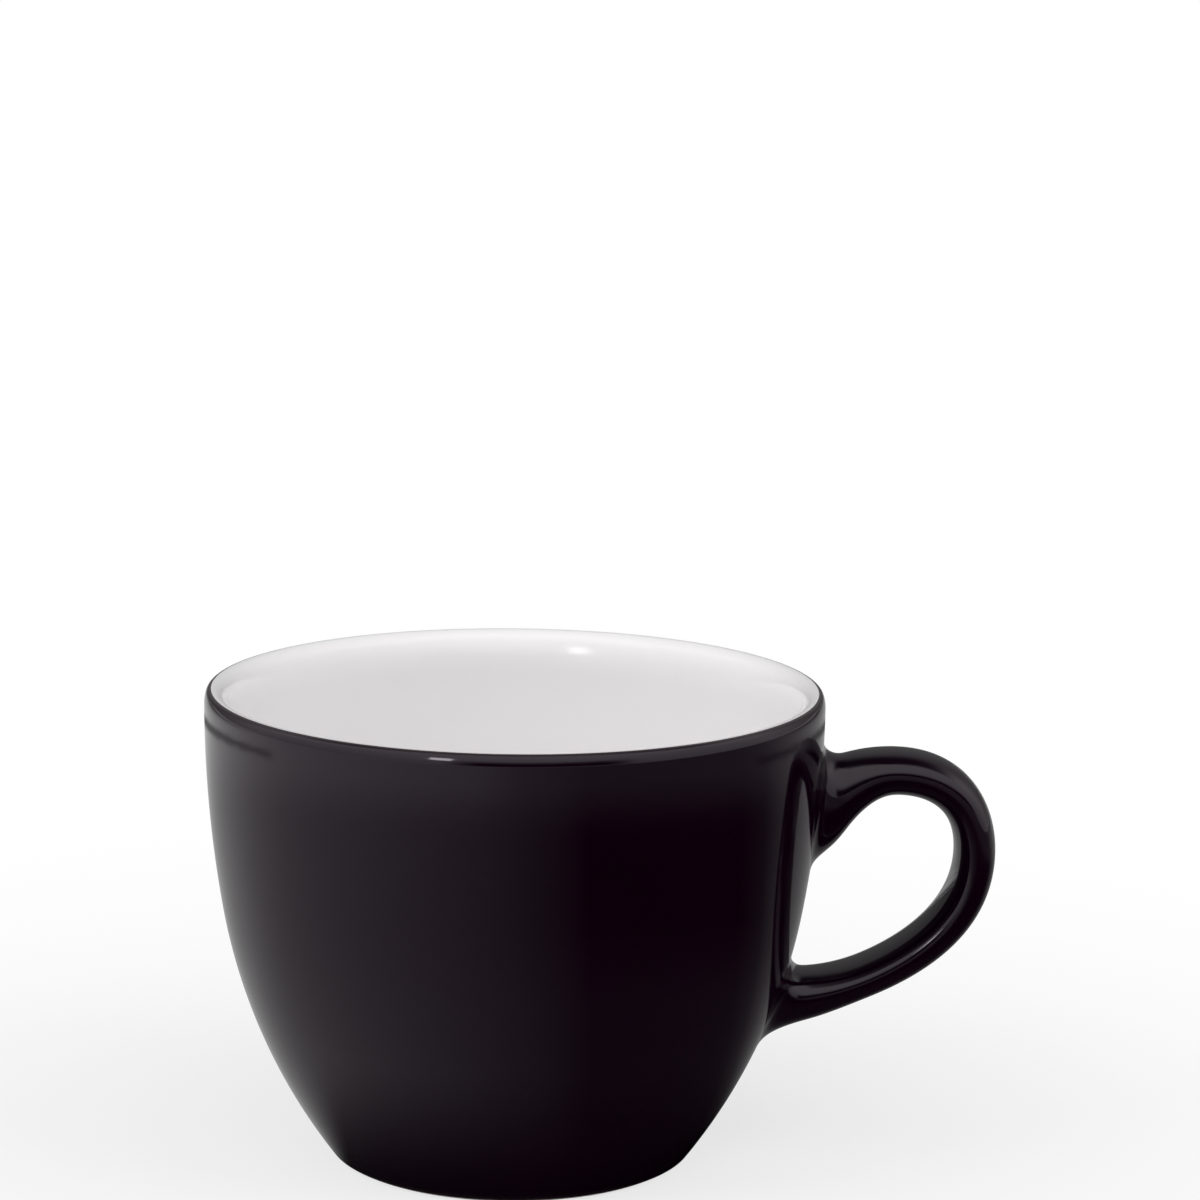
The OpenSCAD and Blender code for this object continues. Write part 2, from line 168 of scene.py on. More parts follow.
def blank(name):
    """A new material and its node tree, still empty."""
    made = bpy.data.materials.new(name)
    made.use_nodes = True
    made.node_tree.nodes.clear()
    return made, made.node_tree


def add(tree, kind, inputs=None, **settings):
    """Adds one node with its settings, and sets each named input or links it from another node's output."""
    made = tree.nodes.new("ShaderNode" + kind)
    for key, value in settings.items():
        setattr(made, key, value)
    for key, value in (inputs or {}).items():
        if isinstance(value, bpy.types.NodeSocket):
            tree.links.new(value, made.inputs[key])
        else:
            made.inputs[key].default_value = value
    return made


# Porcelain biscuit, wiped with a sponge: a chalky warm white with a fine sugary grain and soft cloudy tone.
# The grain is drawn coarser than the real one, so that it shows. The flat of the ring is rubbed a little
# greyer where it has slid over saucers and trays.
CLAY, PALE_CLAY, RUBBED_CLAY = srgb("#E9E6DF"), srgb("#F1EEE8"), srgb("#B9B6B1")
UNRUBBED_Z, RUBBED_Z = 0.1, 0.02
bare_porcelain, tree = blank("porcelain biscuit, sponged and fired")
place = add(tree, "TexCoord").outputs["Object"]
cloud = add(tree, "TexNoise", {"Vector": place, "Scale": 1 / (6 * MM), "Detail": 3})
grain = add(tree, "TexNoise", {"Vector": place, "Scale": 1 / (0.25 * MM), "Detail": 4})
rub = add(tree, "TexNoise", {"Vector": place, "Scale": 1 / (2.5 * MM), "Detail": 5, "Roughness": 0.7})
height = add(tree, "SeparateXYZ", {"Vector": place}).outputs["Z"]
on_ring = add(tree, "MapRange", {"Value": height, "From Min": UNRUBBED_Z * MM, "From Max": RUBBED_Z * MM})
rubbed = add(tree, "MapRange", {"Value": rub.outputs["Fac"], "From Min": 0.48, "From Max": 0.66,
                                "To Max": 0.55})
wear_and_painted_light = add(tree, "Math", {0: on_ring.outputs["Result"], 1: rubbed.outputs["Result"]}, operation="MULTIPLY")
clay = add(tree, "Mix", {"Factor": cloud.outputs["Fac"], "A": CLAY, "B": PALE_CLAY}, data_type="RGBA")
tone = add(tree, "Mix", {"Factor": wear_and_painted_light.outputs["Value"], "A": clay.outputs["Result"], "B": RUBBED_CLAY},
           data_type="RGBA")
tooth = add(tree, "Bump", {"Height": grain.outputs["Fac"], "Strength": 0.35, "Distance": 0.03 * MM})
chalk = add(tree, "MapRange", {"Value": wear_and_painted_light.outputs["Value"], "To Min": 0.62, "To Max": 0.42})
shader = add(tree, "BsdfPrincipled", {"Base Color": tone.outputs["Result"], "IOR": 1.5,
                                      "Roughness": chalk.outputs["Result"],
                                      "Normal": tooth.outputs["Normal"]})
add(tree, "OutputMaterial", {"Surface": shader.outputs["BSDF"]})

bm = bmesh.new()
end = bm.verts.new((0, 0, HOLLOW_D))
end = line(bm, end, CORNER[0], HOLLOW_D)
end = arc(bm, end, CORNER, 90, 10)
end = line(bm, end, HOLLOW_R, RING_BEVEL)
end = line(bm, end, HOLLOW_R + RING_BEVEL, 0)
end = line(bm, end, RING_R - RING_BEVEL, 0)
end = line(bm, end, RING_R, RING_BEVEL)
end = line(bm, end, RING_R, GLAZE_LIFT + GLAZE_T)
end = arc(bm, end, ROUND, FOOT_DEG - 90, 8)
end = arc(bm, end, LOW, BOW_DEG - FOOT_DEG, 20)
end = arc(bm, end, BOW, -BOW_DEG, 12)
end = arc(bm, end, SHOULDER, -EDGE_DEG, 6)
end = arc(bm, end, EDGE, EDGE_DEG - 90, 10)
end = arc(bm, end, INLIP, FLARE_DEG - 90, 12)
end = arc(bm, end, FLARE, SEAM_DEG - FLARE_DEG, 8)
end = arc(bm, end, BOW, BOW_DEG - SEAM_DEG, 12)
end = arc(bm, end, LOW, FILLET_DEG - BOW_DEG, 14)
end = arc(bm, end, FILLET, 90 - FILLET_DEG, 16)
line(bm, end, 0, FLOOR_Z - GLAZE_T)
turn_on_wheel(bm, BODY_STEPS)
fire("porcelain_cup", bm, bare_porcelain, "cup_body")

# The white glaze: a clear-coated white feldspar glaze, poured in, swirled round and poured out again.
# It covers the inside and runs over the top of the lip to the wiped line where the black coat begins.
LIP_LINE_DEG = 85
POOL_TOP_Z, POOL_DEEP_Z = 16, 5
# Between these heights a painted highlight lightens the white over the lip.
LIP_HIGHLIGHT_FROM_Z, LIP_HIGHLIGHT_FULL_Z = 46.5, 48.6


def level_run(bm, start, radius, z):
    """Draws the profile level from the axis out to a radius, in quarters, and returns its new end."""
    for share in (0.25, 0.5, 0.75, 1):
        start = line(bm, start, radius * share, z)
    return start


# Fired to a smooth melt: a milky grey white with a wet shine, faintly rippled like the skin of an orange,
# a little deeper in tone where it pooled on the floor, and lighter over the lip by a painted highlight.
WHITE, PALE_WHITE, LIP_HIGHLIGHT_WHITE, DEEP_WHITE = srgb("#F3F1F2"), srgb("#F6F4F5"), srgb("#FCFAFB"), srgb("#EDEBED")
white_glaze, tree = blank("white glaze, poured and fired glossy")
place = add(tree, "TexCoord").outputs["Object"]
cloud = add(tree, "TexNoise", {"Vector": place, "Scale": 1 / (11 * MM), "Detail": 2})
peel = add(tree, "TexNoise", {"Vector": place, "Scale": 1 / (2.2 * MM), "Detail": 1})
sag = add(tree, "TexNoise", {"Vector": place, "Scale": 1 / (14 * MM), "Detail": 1})
height = add(tree, "SeparateXYZ", {"Vector": place}).outputs["Z"]
pooled = add(tree, "MapRange", {"Value": height, "From Min": POOL_TOP_Z * MM, "From Max": POOL_DEEP_Z * MM,
                                "To Max": 0.6}, interpolation_type="SMOOTHSTEP")
# The painted highlight over the lip: the white is mixed lighter here.
lip_highlight = add(tree, "MapRange", {"Value": height, "From Min": LIP_HIGHLIGHT_FROM_Z * MM, "From Max": LIP_HIGHLIGHT_FULL_Z * MM},
               interpolation_type="SMOOTHSTEP")
melt = add(tree, "Mix", {"Factor": cloud.outputs["Fac"], "A": WHITE, "B": PALE_WHITE}, data_type="RGBA")
painted_lightening = add(tree, "Mix", {"Factor": lip_highlight.outputs["Result"], "A": melt.outputs["Result"],
                            "B": LIP_HIGHLIGHT_WHITE}, data_type="RGBA")
tone = add(tree, "Mix", {"Factor": pooled.outputs["Result"], "A": painted_lightening.outputs["Result"],
                         "B": DEEP_WHITE}, data_type="RGBA")
ripple = add(tree, "Bump", {"Height": peel.outputs["Fac"], "Strength": 0.25, "Distance": 0.02 * MM})
wave = add(tree, "Bump", {"Height": sag.outputs["Fac"], "Strength": 0.3, "Distance": 0.15 * MM,
                          "Normal": ripple.outputs["Normal"]})
gloss = add(tree, "MapRange", {"Value": cloud.outputs["Fac"], "To Min": 0.1, "To Max": 0.14})
shader = add(tree, "BsdfPrincipled", {"Base Color": tone.outputs["Result"], "IOR": 1.5,
                                      "Roughness": gloss.outputs["Result"],
                                      "Normal": wave.outputs["Normal"]})
add(tree, "OutputMaterial", {"Surface": shader.outputs["BSDF"]})

bm = bmesh.new()
end = bm.verts.new((0, 0, FLOOR_Z))
end = level_run(bm, end, FILLET[0], FLOOR_Z)
end = arc(bm, end, FILLET, FILLET_DEG - 90, 24)
end = arc(bm, end, LOW, BOW_DEG - FILLET_DEG, 20)
end = arc(bm, end, BOW, SEAM_DEG - BOW_DEG, 24)
end = arc(bm, end, FLARE, FLARE_DEG - SEAM_DEG, 16)
end = arc(bm, end, INLIP, 90 - FLARE_DEG, 20)
arc(bm, end, EDGE, 90 - LIP_LINE_DEG, 3)
turn_on_wheel(bm, COAT_STEPS)
# The shell is open at the top, so its faces are turned to look into the cup, where the coat is seen.
if sum(f.calc_center_median().xy.dot(f.normal.xy) for f in bm.faces) > 0:
    bmesh.ops.reverse_faces(bm, faces=bm.faces[:])
fire("white_inside_glaze", bm, white_glaze, "inner_glaze", GLAZE_T)

# The black glaze on the outside: an iron and manganese glaze, sprayed on over the fired white.
# It starts at a wiped line just outside the top of the lip and stops where the round of the foot turns under.
LIP_LINE_RAD = math.radians(LIP_LINE_DEG)
LIP_LINE = (EDGE[0] + EDGE_R * math.cos(LIP_LINE_RAD), EDGE[1] + EDGE_R * math.sin(LIP_LINE_RAD))
LIP_FULL_Z, LIP_THIN_Z = 49.14, 49.28
FOOT_FULL_Z, FOOT_THIN_Z = 0.9, 0.2

# Fired to a deep glossy melt: near black with a faint plum cast, a mirror shine that is slightly soft and
# waved, and browner where the coat thins out along the line on the lip and round the foot.
BLACK, PLUM_BLACK, THIN_BLACK, PLUM_SHINE = srgb("#0C010B"), srgb("#11020F"), srgb("#453C3F"), srgb("#FFF6FF")
black_glaze, tree = blank("black glaze, sprayed and fired glossy")
place = add(tree, "TexCoord").outputs["Object"]
cloud = add(tree, "TexNoise", {"Vector": place, "Scale": 1 / (9 * MM), "Detail": 3})
peel = add(tree, "TexNoise", {"Vector": place, "Scale": 1 / (1.6 * MM), "Detail": 1})
sag = add(tree, "TexNoise", {"Vector": place, "Scale": 1 / (13 * MM), "Detail": 1})
height = add(tree, "SeparateXYZ", {"Vector": place}).outputs["Z"]
at_lip = add(tree, "MapRange", {"Value": height, "From Min": LIP_FULL_Z * MM, "From Max": LIP_THIN_Z * MM,
                                "To Max": 0.9})
at_foot = add(tree, "MapRange", {"Value": height, "From Min": FOOT_FULL_Z * MM, "From Max": FOOT_THIN_Z * MM,
                                 "To Max": 0.35})
thin = add(tree, "Math", {0: at_lip.outputs["Result"], 1: at_foot.outputs["Result"]}, operation="MAXIMUM")
melt = add(tree, "Mix", {"Factor": cloud.outputs["Fac"], "A": BLACK, "B": PLUM_BLACK}, data_type="RGBA")
tone = add(tree, "Mix", {"Factor": thin.outputs["Value"], "A": melt.outputs["Result"], "B": THIN_BLACK},
           data_type="RGBA")
ripple = add(tree, "Bump", {"Height": peel.outputs["Fac"], "Strength": 0.2, "Distance": 0.02 * MM})
wave = add(tree, "Bump", {"Height": sag.outputs["Fac"], "Strength": 0.25, "Distance": 0.15 * MM,
                          "Normal": ripple.outputs["Normal"]})
gloss = add(tree, "MapRange", {"Value": cloud.outputs["Fac"], "To Min": 0.05, "To Max": 0.09})
shader = add(tree, "BsdfPrincipled", {"Base Color": tone.outputs["Result"], "IOR": 1.58,
                                      "Roughness": gloss.outputs["Result"], "Specular Tint": PLUM_SHINE,
                                      "Normal": wave.outputs["Normal"]})
add(tree, "OutputMaterial", {"Surface": shader.outputs["BSDF"]})

bm = bmesh.new()
end = bm.verts.new((LIP_LINE[0], 0, LIP_LINE[1]))
end = arc(bm, end, EDGE, LIP_LINE_DEG - EDGE_DEG, 16)
end = arc(bm, end, SHOULDER, EDGE_DEG, 12)
end = arc(bm, end, BOW, BOW_DEG, 32)
end = arc(bm, end, LOW, FOOT_DEG - BOW_DEG, 44)
arc(bm, end, ROUND, 90 - FOOT_DEG, 12)
turn_on_wheel(bm, COAT_STEPS)
fire("black_outside_glaze", bm, black_glaze, "outer_glaze", GLAZE_T)

# The black glaze under the foot: the same coat, sprayed into the shallow hollow inside the standing ring.
# It covers the roof of the hollow and comes down its wall as far as the sponge left it.
BARE_H = 0.5
bm = bmesh.new()
end = bm.verts.new((0, 0, HOLLOW_D - GLAZE_T))
end = level_run(bm, end, CORNER[0], HOLLOW_D - GLAZE_T)
end = arc(bm, end, CORNER, 90, 12)
line(bm, end, HOLLOW_R - GLAZE_T, BARE_H)
turn_on_wheel(bm, COAT_STEPS)
# This shell is open below, so its faces are turned to look down, where the coat is seen.
if sum(f.normal.z for f in bm.faces) > 0:
    bmesh.ops.reverse_faces(bm, faces=bm.faces[:])
fire("black_base_glaze", bm, black_glaze, "base_glaze", GLAZE_T)

# The handle: a loop cast in its own mould, cut to the wall and stuck on with slip while both were leather
# hard. The black coat runs unbroken from the loop over the soft fillets of slip at its two roots.
STRAP_W = 8.4
CREST_T, REACH_T, LOWER_T = 4.74, 4.34, 4.04
CREST_OUT, CREST_DROP = 7.5, 8.45
REACH_OUT, REACH_DROP = 18.2, 17.05
CREST = Vector((CUP_R + CREST_OUT, CUP_H - CREST_DROP))
REACH = Vector((CUP_R + REACH_OUT - REACH_T / 2, CUP_H - REACH_DROP))
ROOT_SQUARENESS, SQUARENESS, CROWN = 2.4, 3.3, 0.27
UPPER_ROOT_DROP, UPPER_ROOT_T, UPPER_ROOT_SINK = 11, 8.4, 1.0
UPPER_ROOT_Z = CUP_H - UPPER_ROOT_DROP
LOWER_ROOT_Z, LOWER_ROOT_T = 16.85, 5.4
SLIP_GAP, SLIP_SPREAD = 2.4, 2.6
FILLET_LEAD, FILLET_FULL = 0.4, 0.33
LEVEL, UPRIGHT = Vector((1, 0)), Vector((0, 1))


def wall_point(y, z, sunk=0):
    """Point of the outside wall on the handle's side, for a place across and up."""
    centre, radius = (BOW, BOW_R) if z > TURN_H else (LOW, LOW_R)
    out = centre[0] + math.sqrt(radius ** 2 - (z - centre[1]) ** 2) - sunk
    return Vector((math.sqrt(out ** 2 - y ** 2), y, z))


# Each curve of the loop's middle line has its two ends and, between them, two points that pull it.
BEND_OUT, BEND_UP = 0.6, 0.64
LOWER_DOWN, LOWER_OUT = 0.75, 0.09
UPPER_END = Vector((wall_point(0, UPPER_ROOT_Z).x + SLIP_GAP, UPPER_ROOT_Z))
LOWER_END = Vector((wall_point(0, LOWER_ROOT_Z).x + SLIP_GAP, LOWER_ROOT_Z))
BEND = (CREST,
        CREST + BEND_OUT * (REACH - CREST).x * LEVEL,
        REACH - BEND_UP * (REACH - CREST).y * UPRIGHT,
        REACH)
LOWER = (REACH,
         REACH - LOWER_DOWN * (REACH - LOWER_END).y * UPRIGHT,
         LOWER_END + LOWER_OUT * (REACH - LOWER_END).x * LEVEL,
         LOWER_END)

# The lower arm is thinnest at its waist, and the fillet of slip takes over a little before its end.
# The fillets' outer edges are tucked just under the wall's skin.
WAIST = 0.6
ARM_END = 0.92
HEADING_STEP = 0.02
TUCK, TUCK_SINK = 0.5, 0.04


def ease(a, b, t):
    """Runs from one value to another with a level start and end."""
    t = min(1, max(0, t))
    return a + (b - a) * t * t * (3 - 2 * t)


def along(curve, t):
    """Place and heading on a curve drawn by four points."""
    a, b, c, d = curve
    s = 1 - t
    return (s ** 3 * a + 3 * s * s * t * b + 3 * s * t * t * c + t ** 3 * d,
            s * s * (b - a) + 2 * s * t * (c - b) + t * t * (d - c))


def rounded(v, squareness=ROOT_SQUARENESS):
    """Share of the half width or half thickness, for a section squarer than an ellipse."""
    return math.copysign(abs(v) ** (2 / squareness), v)


def strap_point(turn, place, heading, thick, crisp=1):
    """Point of the strap's outline at a turn round its section, square to the heading. Crisp runs from 0,
    where the section is round as at the roots, to 1, where its edges are tight and its faces crowned."""
    squareness = ROOT_SQUARENESS + (SQUARENESS - ROOT_SQUARENESS) * crisp
    across, out = rounded(math.cos(turn), squareness), rounded(math.sin(turn), squareness)
    normal = Vector((-heading.y, heading.x)).normalized()
    side = normal * out * thick / 2 * (1 - CROWN * crisp * across ** 2)
    return Vector((place.x + side.x, across * STRAP_W / 2, place.y + side.y))


def upper_arm(turn, t):
    """Point of the deep web that sweeps up from the upper root, at 0, to the crest, at 1."""
    web = (1 - t) ** 2
    place = Vector((UPPER_END.x + (CREST.x - UPPER_END.x) * t, CREST.y - (CREST.y - UPPER_END.y) * web))
    return strap_point(turn, place, LEVEL, CREST_T + (UPPER_ROOT_T - CREST_T) * web, ease(0, 1, t))


def bend(turn, t):
    """Point of the bend from the crest, at 0, to where the loop reaches furthest out, at 1."""
    return strap_point(turn, *along(BEND, t), ease(CREST_T, REACH_T, t))


def lower_arm(turn, t):
    """Point of the strap on its way back to the wall, at 1."""
    t *= ARM_END
    if t < WAIST:
        thick = ease(REACH_T, LOWER_T, t / WAIST)
    else:
        thick = ease(LOWER_T, LOWER_ROOT_T, (t - WAIST) / (1 - WAIST))
    return strap_point(turn, *along(LOWER, t), thick)


def root(turn, t, start, before, edge_z, root_t, up):
    """Point of the fillet of slip from a cut end, at 0, to its edge on the wall, at 1. Past 1 it is tucked
    under the wall's skin. Before is the strap's point one step away from the wall."""
    gap = start.x - wall_point(start.y, start.z).x
    lead = start + FILLET_LEAD * gap / (before.x - start.x) * (start - before)
    across, upwards = rounded(math.cos(turn)), up * rounded(math.sin(turn))
    edge = Vector((across * (STRAP_W / 2 + SLIP_SPREAD), edge_z + upwards * (root_t / 2 + SLIP_SPREAD)))
    corner = lead.yz + FILLET_FULL * (edge - lead.yz)
    if t > 1:
        return wall_point(edge.x + across * (t - 1), edge.y + upwards * (t - 1), TUCK_SINK)
    return along((start, lead, wall_point(*corner), wall_point(*edge)), t)[0]


def upper_root(turn, t):
    """Point of the upper fillet, from its edge on the wall, at 0, to the strap, at 1."""
    return root(turn, 1 - t, upper_arm(turn, 0), upper_arm(turn, HEADING_STEP),
                UPPER_ROOT_Z - UPPER_ROOT_SINK, UPPER_ROOT_T, 1)


def lower_root(turn, t):
    """Point of the lower fillet, from the strap, at 0, to its edge on the wall, at 1."""
    return root(turn, t, lower_arm(turn, 1), lower_arm(turn, 1 - HEADING_STEP),
                LOWER_ROOT_Z, LOWER_ROOT_T, -1)


# The strap's section is one ring, pulled out ring by ring along the loop from the upper root to the lower.
SECTION_STEPS = 72
LOOP_STEPS = ((upper_root, 14), (upper_arm, 20), (bend, 36), (lower_arm, 52), (lower_root, 14))
pulls = [(shape, step / steps) for shape, steps in LOOP_STEPS for step in range(1, steps + 1)]
bm = bmesh.new()
turn_of = bm.verts.layers.float.new("turn")
for v in bmesh.ops.create_circle(bm, segments=SECTION_STEPS, radius=1)["verts"]:
    v[turn_of] = math.atan2(v.co.y, v.co.x)
    v.co = upper_root(v[turn_of], -TUCK)
ring = bm.edges[:]
for shape, share in [(upper_root, 0), *pulls, (lower_root, 1 + TUCK)]:
    pulled = bmesh.ops.extrude_edge_only(bm, edges=ring)["geom"]
    ring = [g for g in pulled if isinstance(g, bmesh.types.BMEdge)]
    for v in pulled:
        if isinstance(v, bmesh.types.BMVert):
            v.co = shape(v[turn_of], share)

# The joins are evened with a damp sponge before the coat goes on.
SPONGE_STROKES = 12
for stroke in range(SPONGE_STROKES):
    bmesh.ops.smooth_vert(bm, verts=[v for v in bm.verts if not v.is_boundary], factor=0.5,
                          use_axis_x=True, use_axis_y=True, use_axis_z=True)
bmesh.ops.recalc_face_normals(bm, faces=bm.faces[:])
fire("black_handle_glaze", bm, black_glaze, "handle_glaze", GLAZE_T)

# Under that coat are the cast porcelain loop and its two pads of slip, which nobody sees on the finished cup.
# The loop is the same biscuit as the cup. The slip is the same clay let down with water and pressed out.
# Fired, it is a shade greyer than the biscuit, dull and finely lumpy.
SLIP, PALE_SLIP = srgb("#D6D2CB"), srgb("#E4E1DB")
slip, tree = blank("casting slip, pressed out and fired")
place = add(tree, "TexCoord").outputs["Object"]
lumps = add(tree, "TexNoise", {"Vector": place, "Scale": 1 / (1.5 * MM), "Detail": 4})
tone = add(tree, "Mix", {"Factor": lumps.outputs["Fac"], "A": SLIP, "B": PALE_SLIP}, data_type="RGBA")
tooth = add(tree, "Bump", {"Height": lumps.outputs["Fac"], "Strength": 0.5, "Distance": 0.08 * MM})
shader = add(tree, "BsdfPrincipled", {"Base Color": tone.outputs["Result"], "Roughness": 0.75, "IOR": 1.5,
                                      "Normal": tooth.outputs["Normal"]})
add(tree, "OutputMaterial", {"Surface": shader.outputs["BSDF"]})
for name, finish in (("handle", bare_porcelain), ("upper_slip_joint", slip), ("lower_slip_joint", slip)):
    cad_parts[name].data.materials.clear()
    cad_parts[name].data.materials.append(finish)

# The stage: a wide table top with a matt white lacquer, level with the bottom of the standing ring.
# It runs far past the cup and fades to plain white away from it, so that only a soft shadow is left.
TABLE_HALF_W = 6000
TABLE_DROP = 0.01
SHADOW_R, PLAIN_R = 20, 160
LACQUER, PALE_LACQUER, PLAIN_WHITE = srgb("#F4F4F4"), srgb("#F7F7F7"), srgb("#FFFFFF")
paper, tree = blank("white table top, matt lacquer")
place = add(tree, "TexCoord").outputs["Object"]
mottle = add(tree, "TexNoise", {"Vector": place, "Scale": 1 / (40 * MM), "Detail": 3})
tone = add(tree, "Mix", {"Factor": mottle.outputs["Fac"], "A": LACQUER, "B": PALE_LACQUER}, data_type="RGBA")
lacquer = add(tree, "BsdfDiffuse", {"Color": tone.outputs["Result"]})
plain = add(tree, "Emission", {"Color": PLAIN_WHITE, "Strength": 1})
reach = add(tree, "VectorMath", {"Vector": place}, operation="LENGTH").outputs["Value"]
fade = add(tree, "MapRange", {"Value": reach, "From Min": SHADOW_R * MM, "From Max": PLAIN_R * MM,
                              "To Min": 0.7}, interpolation_type="SMOOTHSTEP")
ray = add(tree, "LightPath").outputs
mirrored = add(tree, "Math", {0: ray["Is Glossy Ray"], 1: ray["Is Transmission Ray"]}, operation="ADD")
seen = add(tree, "Math", {0: ray["Is Camera Ray"], 1: mirrored.outputs["Value"]}, operation="ADD",
           use_clamp=True)
white_share = add(tree, "Math", {0: seen.outputs["Value"], 1: fade.outputs["Result"]}, operation="MULTIPLY")
shader = add(tree, "MixShader", {0: white_share.outputs["Value"], 1: lacquer.outputs["BSDF"],
                                 2: plain.outputs["Emission"]})
add(tree, "OutputMaterial", {"Surface": shader.outputs["Shader"]})
bm = bmesh.new()
bmesh.ops.create_grid(bm, x_segments=1, y_segments=1, size=TABLE_HALF_W * MM)
bmesh.ops.translate(bm, vec=(0, 0, -TABLE_DROP * MM), verts=bm.verts[:])
table_top = set_down("table_top", bm, paper)

# A sheet of painted shade lies just over the table round the cup, darkest at the foot and towards the front
# right.
# Only the glaze's shine sees it: it paints shade into the table's reflection, so that the black coat stays
# deep while the table stays white.
SHADE_SHEET_R = 3000
SHADE_SHEET_LIFT = 0.05
DARKEST_WAY = (0.875, -0.485, 0)
reflection_shade, tree = blank("painted reflection shade, graded")
place = add(tree, "TexCoord").outputs["Object"]
reach = add(tree, "VectorMath", {"Vector": place}, operation="LENGTH").outputs["Value"]
way = add(tree, "VectorMath", {"Vector": place}, operation="NORMALIZE").outputs["Vector"]
sideways = add(tree, "SeparateXYZ", {"Vector": way}).outputs["X"]
backwards = add(tree, "SeparateXYZ", {"Vector": way}).outputs["Y"]
turned = add(tree, "VectorMath", {0: way, 1: DARKEST_WAY}, operation="DOT_PRODUCT").outputs["Value"]

# The painted shade lightens away from its darkest side, and a little more at the rear, close in, and
# further out, most on the left.
OPENING_POWER, OPENING_SHARE = 0.8, 0.47
LEFT_OPENING_FROM, LEFT_OPENING_TO = 140, 215
CLOSE_FROM, CLOSE_TO = 85, 55
open_side = add(tree, "MapRange", {"Value": turned, "From Min": 0.8, "From Max": -1})
side_opening = add(tree, "Math", {0: open_side.outputs["Result"], 1: OPENING_POWER},
            operation="POWER").outputs["Value"]
wear_and_painted_light = add(tree, "MapRange", {"Value": sideways, "From Min": 0.1, "From Max": -0.25,
                              "To Min": 0.11, "To Max": 0.2}, interpolation_type="SMOOTHSTEP")
outside = add(tree, "MapRange", {"Value": reach, "From Min": LEFT_OPENING_FROM * MM, "From Max": LEFT_OPENING_TO * MM},
              interpolation_type="SMOOTHSTEP")
painted_lightening = add(tree, "Math", {0: wear_and_painted_light.outputs["Result"], 1: outside.outputs["Result"]}, operation="MULTIPLY")
rear = add(tree, "MapRange", {"Value": backwards, "From Min": -0.1, "From Max": 0.4, "To Max": 0.07})
inner = add(tree, "MapRange", {"Value": reach, "From Min": CLOSE_FROM * MM, "From Max": CLOSE_TO * MM,
                               "To Max": 0.03})
inmost = add(tree, "Math", {0: rear.outputs["Result"], 1: inner.outputs["Result"]}, operation="ADD")
extra_opening = add(tree, "Math", {0: inmost.outputs["Value"], 1: painted_lightening.outputs["Value"]}, operation="ADD")
spread = add(tree, "Math", {0: side_opening, 1: OPENING_SHARE, 2: extra_opening.outputs["Value"]}, operation="MULTIPLY_ADD")

# It is darkest at the foot all round but at the left rear, a painted contact shadow in the reflection.
# Behind, a painted dark band runs round it at one distance, and the shade deepens far off.
FOOT_SHADE_FROM, FOOT_SHADE_TO = 18, 40
DARK_BAND_R, DARK_BAND_FULL, DARK_BAND_END = 214, 1, 8
FAR_FROM, FAR_TO = 250, 800
to_left = add(tree, "MapRange", {"Value": turned, "From Min": -0.55, "From Max": -0.92, "To Min": 0.03},
              interpolation_type="SMOOTHSTEP")
foot = add(tree, "MapRange", {"Value": reach, "From Min": FOOT_SHADE_FROM * MM, "From Max": FOOT_SHADE_TO * MM,
                              "To Min": to_left.outputs["Result"]}, interpolation_type="SMOOTHSTEP")
near = add(tree, "Math", {0: spread.outputs["Value"], 1: foot.outputs["Result"]}, operation="MULTIPLY")
# A painted dark band in the reflection, behind the cup only.
to_dark_band = add(tree, "Math", {0: reach, 1: DARK_BAND_R * MM}, operation="SUBTRACT")
off_dark_band = add(tree, "Math", {0: to_dark_band.outputs["Value"]}, operation="ABSOLUTE")
dark_band = add(tree, "MapRange", {"Value": off_dark_band.outputs["Value"], "From Min": DARK_BAND_FULL * MM,
                             "From Max": DARK_BAND_END * MM, "To Min": 0.25}, interpolation_type="SMOOTHSTEP")
in_front = add(tree, "MapRange", {"Value": backwards, "From Min": 0.15, "From Max": 0},
               interpolation_type="SMOOTHSTEP")
banded = add(tree, "Math", {0: dark_band.outputs["Result"], 1: in_front.outputs["Result"]}, operation="MAXIMUM")
at_back = add(tree, "MapRange", {"Value": backwards, "From Min": 0.3, "From Max": 0.8,
                                 "To Min": 1, "To Max": 0.25})
far = add(tree, "MapRange", {"Value": reach, "From Min": FAR_FROM * MM, "From Max": FAR_TO * MM,
                             "To Min": 1, "To Max": at_back.outputs["Result"]},
          interpolation_type="SMOOTHSTEP")
band_shaded = add(tree, "Math", {0: near.outputs["Value"], 1: banded.outputs["Value"]}, operation="MULTIPLY")
through = add(tree, "Math", {0: band_shaded.outputs["Value"], 1: far.outputs["Result"]}, operation="MULTIPLY")
reflection_filter = add(tree, "BsdfTransparent", {"Color": through.outputs["Value"]})
add(tree, "OutputMaterial", {"Surface": reflection_filter.outputs["BSDF"]})
bm = bmesh.new()
bmesh.ops.create_circle(bm, cap_ends=True, segments=64, radius=SHADE_SHEET_R * MM)
bmesh.ops.translate(bm, vec=(0, 0, SHADE_SHEET_LIFT * MM), verts=bm.verts[:])
reflection_shade_sheet = set_down("reflection_shade", bm, reflection_shade)
reflection_shade_sheet.visible_camera = False
reflection_shade_sheet.visible_diffuse = False
reflection_shade_sheet.visible_shadow = False

